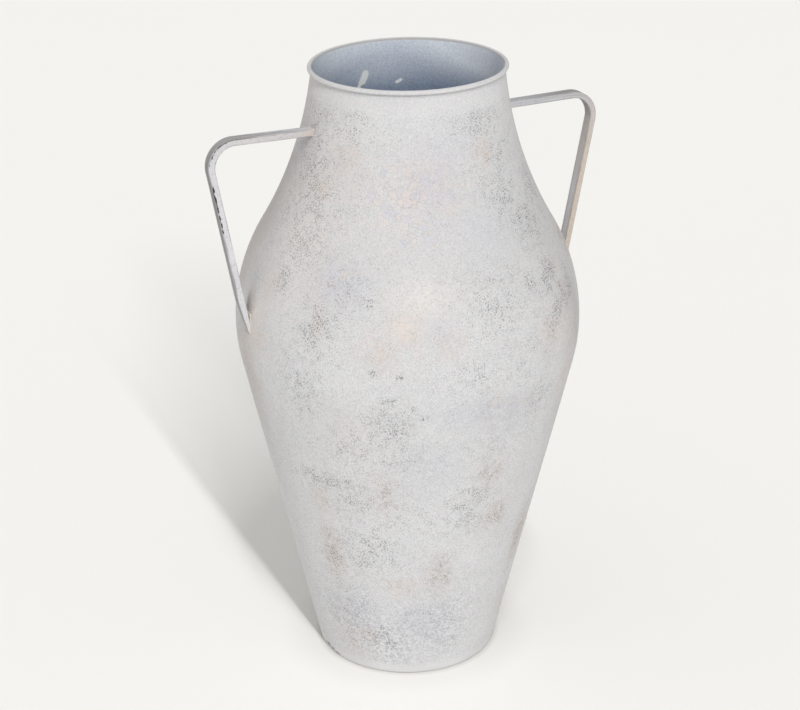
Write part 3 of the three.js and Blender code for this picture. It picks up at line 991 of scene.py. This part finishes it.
# %% Rubbed bar paint
def rubbed_bar_paint():
    material, tree, place = start_finish("rubbed bar paint")
    grime, chip, beige, rub = [
        add(tree, "ShaderNodeAttribute", attribute_name=name).node.outputs["Fac"]
        for name in ("grime", "chip", "beige", "rub")
    ]
    lie = add(tree, "ShaderNodeAttribute", attribute_name="lie").node.outputs["Vector"]
    # Grit of 1.4 mm, drawn as coarse as it needs to show, and clouds of 18 mm
    grit, clouds = [
        add(
            tree,
            "ShaderNodeTexNoise",
            {"Vector": place, "Scale": 1 / (size * MM), "Detail": 3.0, "Roughness": 0.6},
        )
        for size in (1.4, 18)
    ]
    # Streaks of 25 mm and flakes of 4 mm along the bar, each 1.6 mm across it
    stretched = [
        add(
            tree,
            "ShaderNodeVectorMath",
            {0: lie, 1: [1 / (size * MM) for size in (length, 1.6, 1.6)]},
            operation="MULTIPLY",
        )
        for length in (25, 4)
    ]
    streaks, flakes = [
        add(tree, "ShaderNodeTexNoise", {"Vector": vector, "Scale": 1.0, "Detail": 3.0})
        for vector in stretched
    ]
    coat = add(
        tree,
        "ShaderNodeMix",
        {"Factor": clouds, "A": linear("#C5C6CD"), "B": linear("#D8D8D9")},
        data_type="RGBA",
    )
    warm = add(
        tree, "ShaderNodeMix", {"Factor": beige, "A": coat, "B": linear("#C5B7AB")}, data_type="RGBA"
    )
    streaked = add(tree, "ShaderNodeMapRange", {"Value": streaks, "From Min": 0.36, "From Max": 0.64})
    stain = add(
        tree,
        "ShaderNodeMix",
        {"Factor": streaked, "A": linear("#5E564B"), "B": linear("#999DA6")},
        data_type="RGBA",
    )
    stained = add(tree, "ShaderNodeMix", {"Factor": grime, "A": warm, "B": stain}, data_type="RGBA")
    streaky = add(tree, "ShaderNodeMapRange", {"Value": streaks, "From Min": 0.42, "From Max": 0.6})
    rub_share = add(tree, "ShaderNodeMath", {0: rub, 1: streaky}, operation="MULTIPLY")
    rubbed = add(
        tree, "ShaderNodeMix", {"Factor": rub_share, "A": stained, "B": linear("#5F554B")}, data_type="RGBA"
    )
    grit_share = add(
        tree, "ShaderNodeMapRange", {"Value": grit, "From Min": 0.5, "From Max": 0.75, "To Max": 0.4}
    )
    specked = add(
        tree, "ShaderNodeMix", {"Factor": grit_share, "A": rubbed, "B": linear("#7E7A75")}, data_type="RGBA"
    )
    # A chip opens where the flakes' noise passes a level, which falls as the chipping gets stronger
    chip_softness = 0.06
    level = add(tree, "ShaderNodeMapRange", {"Value": chip, "To Min": 0.85, "To Max": 0.4})
    level_end = add(tree, "ShaderNodeMath", {0: level, 1: chip_softness})
    chipped = add(tree, "ShaderNodeMapRange", {"Value": flakes, "From Min": level, "From Max": level_end})
    colour = add(
        tree, "ShaderNodeMix", {"Factor": chipped, "A": specked, "B": linear("#2E2B29")}, data_type="RGBA"
    )
    roughness = add(tree, "ShaderNodeMapRange", {"Value": clouds, "To Min": 0.5, "To Max": 0.72})
    close_finish(tree, colour, roughness, grit, 0.05 * MM, **{"Specular IOR Level": 0.35})
    return material


bar_paint = rubbed_bar_paint()
print("finish:", bar_paint.name)

# %% [markdown]
# ## Filled weld paint
#
# Each bar end sits in a small bead of weld, smoothed with filler and painted cream. At the neck a brown line
# of painted shade lies under the bar, where it meets the body. The lumps are too small to model, so they are a
# bump.

# %% Filled weld paint
def filled_weld_paint():
    material, tree, place = start_finish("filled weld paint")
    dirt_and_shade = add(tree, "ShaderNodeAttribute", attribute_name="dirt_and_shade").node.outputs["Fac"]
    # Clouds of 6 mm and lumps of 2.2 mm
    clouds = add(tree, "ShaderNodeTexNoise", {"Vector": place, "Scale": 1 / (6 * MM), "Detail": 3.0})
    lumps = add(tree, "ShaderNodeTexNoise", {"Vector": place, "Scale": 1 / (2.2 * MM), "Detail": 2.0})
    coat = add(
        tree,
        "ShaderNodeMix",
        {"Factor": clouds, "A": linear("#C4C1BD"), "B": linear("#CDBEAE")},
        data_type="RGBA",
    )
    # A dark brown painted shade, broken by the lumps, along the bead under the bar at the neck.
    painted_shade_share = add(tree, "ShaderNodeMath", {0: dirt_and_shade, 1: lumps}, operation="MULTIPLY")
    colour = add(
        tree, "ShaderNodeMix", {"Factor": painted_shade_share, "A": coat, "B": linear("#5E4C3E")}, data_type="RGBA"
    )
    roughness = add(tree, "ShaderNodeMapRange", {"Value": lumps, "To Min": 0.5, "To Max": 0.75})
    close_finish(tree, colour, roughness, lumps, 0.15 * MM, **{"Specular IOR Level": 0.35})
    return material


weld_paint = filled_weld_paint()
print("finish:", weld_paint.name)

# %% [markdown]
# ## Handles
#
# Each handle is one flat bar, bent once and trimmed at both ends to lie on the body. The bar could be cut to
# the body with a boolean, but its lines along the bar are simple to end one by one where they meet the face,
# and that keeps a clean mesh. The section is a rectangle with rounded edges, walked along a path of arm, bend
# and leg.

# %% Path of a bar
bar_width = 10 * MM
bar_thickness = 5 * MM
handle_reach = 167 * MM
arm_drop_at_corner = 42.5 * MM
arm_drop_at_neck = 43.7 * MM
bar_bend = 19 * MM
foot_rise = 9 * MM
foot_taper = 28 * MM

# Each centreline lands on the body in the handle's own plane, which holds the axis and +X.
neck_joint = Vector((body_radius(height - arm_drop_at_neck), 0, height - arm_drop_at_neck))
foot_joint = Vector((body_radius(girth_height + foot_rise), 0, girth_height + foot_rise))
corner = Vector((handle_reach, 0, height - arm_drop_at_corner))
arm_way = (corner - neck_joint).normalized()
leg_way = (foot_joint - corner).normalized()
arm_side = Vector((-arm_way.z, 0, arm_way.x))
leg_side = Vector((-leg_way.z, 0, leg_way.x))
corner_turn = arm_way.angle(leg_way)
corner_ease = bar_bend * math.tan(corner_turn / 2)
arm_run = (corner - neck_joint).length - corner_ease
leg_run = (corner - foot_joint).length - corner_ease
bend_centre = neck_joint + arm_run * arm_way - bar_bend * arm_side


def arm_point(run, out, wide):
    """A point of the arm, at a run past where its centreline lands, with its offsets outwards and across."""
    return neck_joint - run * arm_way + out * arm_side + Vector((0, wide, 0))


def bend_point(turn, out, wide):
    """A point of the bend, at a turn from the arm."""
    return bend_centre + Matrix.Rotation(turn, 3, "Y") @ arm_side * (bar_bend + out) + Vector((0, wide, 0))


def leg_point(run, out, wide):
    """A point of the leg, like one of the arm. The outer face draws in to land with the centreline."""
    drawn_in = min(out, -bar_thickness / 2 * run / foot_taper)
    return foot_joint + run * leg_way + drawn_in * leg_side + Vector((0, wide, 0))


def run_to_body(point_at, run, sink):
    """The first run at which a line beside the centreline lies at a depth under the body's face."""
    stride = 0.1 * MM
    while point_at(run).xy.length > body_radius(point_at(run).z) - sink:
        run += stride
    return run


print("bar: bend of", round(math.degrees(corner_turn), 1), "degrees, foot at", round(foot_joint.z, 4))

# %% Section and mesh of a bar
bar_edge = 0.7 * MM
edge_steps = 4
face_shares = (0.1, 0.3, 0.5, 0.7, 0.9)
arm_rings = 36
bend_rings = 26
leg_rings = 90


def bar_section():
    """Points round the bar, outwards and across: a rounded edge, then a face, four times."""
    points = []
    for quarter in range(4):
        middle = (quarter + 0.5) * upright
        out_middle = math.copysign(bar_thickness / 2 - bar_edge, math.cos(middle))
        wide_middle = math.copysign(bar_width / 2 - bar_edge, math.sin(middle))
        for step in range(edge_steps + 1):
            turn = (quarter + step / edge_steps) * upright
            out = out_middle + bar_edge * math.cos(turn)
            wide = wide_middle + bar_edge * math.sin(turn)
            points.append((out, wide))
    faced = []
    for i, (out, wide) in enumerate(points):
        faced.append((out, wide))
        if i % (edge_steps + 1) == edge_steps:
            next_out, next_wide = points[(i + 1) % len(points)]
            for share in face_shares:
                faced.append((out + share * (next_out - out), wide + share * (next_wide - wide)))
    return faced


def bar_line(out, wide, sink):
    """One line along the bar, from the neck to the foot, with each end at a depth in the body."""
    arm_end = run_to_body(lambda run: arm_point(run, out, wide), -arm_run / 2, sink)
    leg_end = run_to_body(lambda run: leg_point(run, out, wide), -leg_run / 2, sink)
    arm_runs = np.linspace(arm_end, -arm_run, arm_rings).tolist()
    turns = np.linspace(0, corner_turn, bend_rings).tolist()
    leg_runs = np.linspace(-leg_run, leg_end, leg_rings).tolist()
    points = [arm_point(run, out, wide) for run in arm_runs]
    points += [bend_point(turn, out, wide) for turn in turns[1:-1]]
    points += [leg_point(run, out, wide) for run in leg_runs]
    return points


section_points = bar_section()
bar_sink = 0.4 * MM
bar_lines = [bar_line(out, wide, bar_sink) for out, wide in section_points]
count, rings = len(bar_lines), len(bar_lines[0])


def bar_mesh(name):
    """A closed mesh of the bar."""
    vertices = [bar_lines[j][i] for i in range(rings) for j in range(count)]
    faces = [
        (i * count + j, (i + 1) * count + j, (i + 1) * count + (j + 1) % count, i * count + (j + 1) % count)
        for i in range(rings - 1)
        for j in range(count)
    ]
    faces.append(tuple(range(count)))
    faces.append(tuple((rings - 1) * count + j for j in reversed(range(count))))
    mesh = bpy.data.meshes.new(name)
    mesh.from_pydata(vertices, [], faces)
    return mesh


print("bar section:", count, "points;", rings, "rings along the bar")

# %% [markdown]
# ## Wear of the handles
#
# The left handle is the right one turned half round. Wear differs: the left bar has lost paint along its
# outer front edge, at the bend and below it, and the narrow face of the right leg has gone beige. One noise
# over both bars would be less work, but wear follows use. So each kind is given by its strength at a few
# distances along the bar, in millimetres from the neck.

# %% Wear along the bars
bar_turn = {"right": 0.0, "left": math.pi}
front_edge = {"right": -1, "left": 1}
stations = [0, 15, 60, 85, 120, 160, 215, 240]
outer_grime = {
    "right": [0.4, 0.4, 0.7, 0.7, 0.6, 0.6, 0.6, 0.6],
    "left": [0.15, 0.2, 0.45, 0.75, 0.8, 0.7, 0.65, 0.2],
}
inner_grime = {
    "right": [0.3, 0.3, 0.7, 0.5, 0.15, 0.0, 0.0, 0.0],
    "left": [0.3, 0.3, 0.3, 0.2, 0.1, 0.1, 0.1, 0.1],
}
narrow_grime = {
    "right": [0.2, 0.3, 0.5, 0.3, 0.12, 0.05, 0.08, 0.1],
    "left": [0.08, 0.12, 0.1, 0.08, 0.03, 0.03, 0.03, 0.0],
}
beige_along = {
    "right": [0.2, 0.0, 0.1, 0.6, 0.85, 0.9, 1.0, 1.0],
    "left": [0.8, 0.3, 0.2, 0.0, 0.0, 0.0, 0.1, 0.2],
}
inner_beige = {
    "right": [0.0, 0.0, 0.2, 0.7, 0.5, 0.0, 0.0, 0.0],
    "left": [0.0, 0.0, 0.1, 0.2, 0.1, 0.0, 0.0, 0.0],
}
rub_along = {
    "right": [0.1, 0.4, 0.9, 0.8, 0.6, 0.4, 0.4, 0.4],
    "left": [0.1, 0.5, 0.9, 0.9, 0.7, 0.6, 0.5, 0.3],
}
chips_along = {
    "right": ([55, 65, 92, 98], [0.0, 0.3, 0.3, 0.0]),
    "left": ([62, 69, 84, 92, 108, 142, 150], [0.1, 0.82, 0.82, 0.3, 1.0, 1.0, 0.0]),
}
print("wear given at", len(stations), "stations along each bar")

# %% Both handles
middle_line = bar_line(0, 0, bar_sink)
steps = [(b - a).length / MM for a, b in zip(middle_line, middle_line[1:])]
along = np.repeat(np.concatenate(([0], np.cumsum(steps))), count)
out, wide = np.tile(np.array(section_points), (rings, 1)).T

# A narrow face reaches a little way round its edges. Rub and chips fade out within about 1.5 mm of an edge,
# and the outer face is rubbed all over.
narrow_fade = 1.5 * MM
narrow_reach = 1.7
edge_reach = 2.2
outer_face = bar_thickness / 2 - 0.1 * MM
off_side = bar_width / 2 - np.abs(wide)
narrow = np.clip(narrow_reach - off_side / narrow_fade, 0, 1)
off_edge = np.hypot(bar_thickness / 2 - np.abs(out), off_side)
outer_rub = 0.7 * (out > outer_face)


def finish_mesh(mesh, material, turn):
    """Turns a mesh to its side, gives it its finish and makes its faces smooth."""
    mesh.transform(Matrix.Rotation(turn, 4, "Z"))
    mesh.materials.append(material)
    mesh.polygons.foreach_set("use_smooth", [True] * len(mesh.polygons))
    mesh.update()


for side, turn in bar_turn.items():
    mesh = bar_mesh(f"handle_{side}_bar")
    finish_mesh(mesh, bar_paint, turn)
    outer, inner, slim, beige, inner_tint, rub = [
        np.interp(along, stations, wear[side])
        for wear in (outer_grime, inner_grime, narrow_grime, beige_along, inner_beige, rub_along)
    ]
    chipped_edge = np.hypot(out - bar_thickness / 2, wide - front_edge[side] * bar_width / 2)
    chips = np.clip(edge_reach - chipped_edge / bar_edge, 0, 1) * np.interp(along, *chips_along[side])
    paint_attribute(mesh, "grime", narrow * slim + (1 - narrow) * np.where(out > 0, outer, inner))
    paint_attribute(mesh, "beige", narrow * beige + (1 - narrow) * (out < 0) * inner_tint)
    paint_attribute(mesh, "rub", rub * np.clip(edge_reach - 2 * off_edge / bar_edge, outer_rub, 1))
    paint_attribute(mesh, "chip", chips)
    paint_attribute(mesh, "lie", np.column_stack((along * MM + turn, out, wide)))
    handle = bpy.data.objects.new(mesh.name, mesh)
    scene.collection.objects.link(handle)
    fit(handle, "handle_paint", f"handle_{side}")
    print(handle.name, len(mesh.polygons), "faces")

# %% [markdown]
# ## Handle welds
#
# A bead of weld runs round each bar end, in the corner between bar and body. A curve with a round bevel would
# do for the bead alone, but behind the leg it draws out into a heel that fills the narrow wedge between bar
# and body. So it is meshed along the ring where the bar meets the face: at every point a small bulging
# section stands on the body and leans against the bar.

# %% Mesh of a handle weld
weld_leg = 0.45 * MM
weld_unevenness = 0.3
weld_lump = 2.5 * MM
heel_length = 8 * MM
heel_rise = 0.13
heel_sink = 0.03
shade_line = 0.4

# The section in shares of the leg: away from the bar along the body, then up from the body
weld_section = [
    (-0.7, -0.3), (0.55, -0.3), (1.0, -0.1), (0.93, 0.2), (0.7, 0.5), (0.42, 0.78), (0.1, 0.98), (-0.5, 1.0),
]


def weld_mesh(name, ring, heel, shaded, seed):
    """A closed bead round a ring of points on the body. A heel of 1 draws it out into the wedge."""
    vertices = []
    for i, point in enumerate(ring):
        normal = body_normal(point)
        along = (ring[(i + 1) % len(ring)] - ring[i - 1]).normalized()
        up = (Vector((0, 0, 1)) - normal.z * normal).normalized()
        out = along.cross(normal).normalized().lerp(up, heel[i])
        leg = weld_leg * (1 + weld_unevenness * noise.noise(point / weld_lump + Vector((seed, 0, 0))))
        reach = leg + heel[i] * (heel_length - leg)
        for a, b in weld_section:
            wedge = heel[i] * reach * max(a, 0) * (heel_rise if b > 0 else -heel_sink)
            vertices.append(point + reach * a * out + (leg * b + wedge) * normal)
    sides, length = len(weld_section), len(ring)
    faces = [
        (
            i * sides + j,
            (i + 1) % length * sides + j,
            (i + 1) % length * sides + (j + 1) % sides,
            i * sides + (j + 1) % sides,
        )
        for i in range(length)
        for j in range(sides)
    ]
    mesh = bpy.data.meshes.new(name)
    mesh.from_pydata(vertices, [], faces)
    # The side of the bead against the bar takes the painted shade, where it is asked for.
    by_bar = [float(b > shade_line) for _, b in weld_section]
    paint_attribute(mesh, "dirt_and_shade", np.outer(shaded, by_bar).ravel())
    return mesh


print("weld section:", len(weld_section), "points, standing", weld_leg, "m on the body")

# %% Handle welds
landed = [bar_line(out, wide, 0) for out, wide in section_points]
on_inside = [float(out < -outer_face) for out, _ in section_points]
nowhere = [0.0] * len(landed)
bar_ends = {
    "neck": ([line[0] for line in reversed(landed)], nowhere, on_inside[::-1]),
    "girth": ([line[-1] for line in landed], on_inside, nowhere),
}
for side, turn in bar_turn.items():
    for place, (ring, heel, shaded) in bar_ends.items():
        mesh = weld_mesh(f"handle_{side}_{place}_weld_bead", ring, heel, shaded, turn)
        finish_mesh(mesh, weld_paint, turn)
        bead = bpy.data.objects.new(mesh.name, mesh)
        scene.collection.objects.link(bead)
        fit(bead, "weld_paint", f"handle_{side}_{place}_weld")
        print(bead.name, len(mesh.polygons), "faces")

# %% [markdown]
# ## Floor and light
#
# The vase stands on a plain pale floor. The main light is a tall strip in front and a little to the right,
# made of suns stacked one above the other: its narrow width gives the shadow a clear side, and its height
# lets the shadow fade as it runs back. One area lamp would be simpler, but it would light the near floor more
# than the far floor. The world fills in. Together they light the floor to the level at which its colour shows
# as written.

# %% Floor
def pale_floor():
    material, tree, place = start_finish("pale floor")
    unevenness = add(tree, "ShaderNodeTexNoise", {"Vector": place, "Scale": 1 / (400 * MM), "Detail": 2.0})
    colour = add(
        tree,
        "ShaderNodeMix",
        {"Factor": unevenness, "A": linear("#F4F3EF"), "B": linear("#F3F2EE")},
        data_type="RGBA",
    )
    # The floor is painted darker round the foot, as shade, and darker still right at its edge, as a contact
    # shadow
    from_axis = add(tree, "ShaderNodeVectorMath", {0: place}, operation="LENGTH").node.outputs["Value"]
    for reach, tint in ((115 * MM, "#E9E8E4"), (80 * MM, "#D8D6D2")):
        share = add(
            tree,
            "ShaderNodeMapRange",
            {"Value": from_axis, "From Min": reach, "From Max": base_radius},
            interpolation_type="SMOOTHSTEP",
        )
        colour = add(
            tree, "ShaderNodeMix", {"Factor": share, "A": colour, "B": linear(tint)}, data_type="RGBA"
        )
    close_finish(tree, colour, 0.9, unevenness, 0.01 * MM, **{"Specular IOR Level": 0.1})
    return material


floor_mesh = bpy.data.meshes.new("floor")
floor_half = 12.0
floor_corners = [(floor_half * x, floor_half * y, 0) for x, y in ((-1, -1), (1, -1), (1, 1), (-1, 1))]
floor_mesh.from_pydata(floor_corners, [], [(0, 1, 2, 3)])
floor_mesh.materials.append(pale_floor())
floor = bpy.data.objects.new("floor", floor_mesh)
scene.collection.objects.link(floor)
print("floor", 2 * floor_half, "m across")

# %% Light
strip_elevations = [math.radians(angle) for angle in range(28, 65, 2)]
strip_foot = camera_bearing + math.radians(26.6)
strip_lean = 0.32
sun_width = math.radians(2)
floor_level = 1.01
key_level = 0.43
room_level = floor_level - key_level
for elevation in strip_elevations:
    lamp = bpy.data.lights.new("strip light", "SUN")
    lamp.energy = key_level * math.pi / len(strip_elevations) / math.sin(elevation)
    lamp.angle = sun_width
    sun = bpy.data.objects.new("strip light", lamp)
    shining = towards(strip_foot - strip_lean * elevation, elevation)
    sun.rotation_euler = shining.to_track_quat("Z", "Y").to_euler()
    scene.collection.objects.link(sun)

# The room is a little darker behind the vase than in front of it.
room_dark_side = towards(camera_bearing + math.radians(135))
room_drift = 0.18
world = bpy.data.worlds.new("soft room")
world.use_nodes = True
tree = world.node_tree
tree.nodes.clear()
way = add(tree, "ShaderNodeTexCoord").node.outputs["Generated"]
side = add(tree, "ShaderNodeVectorMath", {0: way, 1: room_dark_side}, operation="DOT_PRODUCT")
level = add(
    tree,
    "ShaderNodeMapRange",
    {"Value": side, "From Min": -1.0, "To Min": room_level + room_drift, "To Max": room_level - room_drift},
)
glow = add(tree, "ShaderNodeBackground", {"Color": linear("#FFFFFF"), "Strength": level})
add(tree, "ShaderNodeOutputWorld", {"Surface": glow})
scene.world = world
scene.view_settings.view_transform = "Standard"
print("light:", len(strip_elevations), "suns give", key_level, "and the room gives", round(room_level, 2))
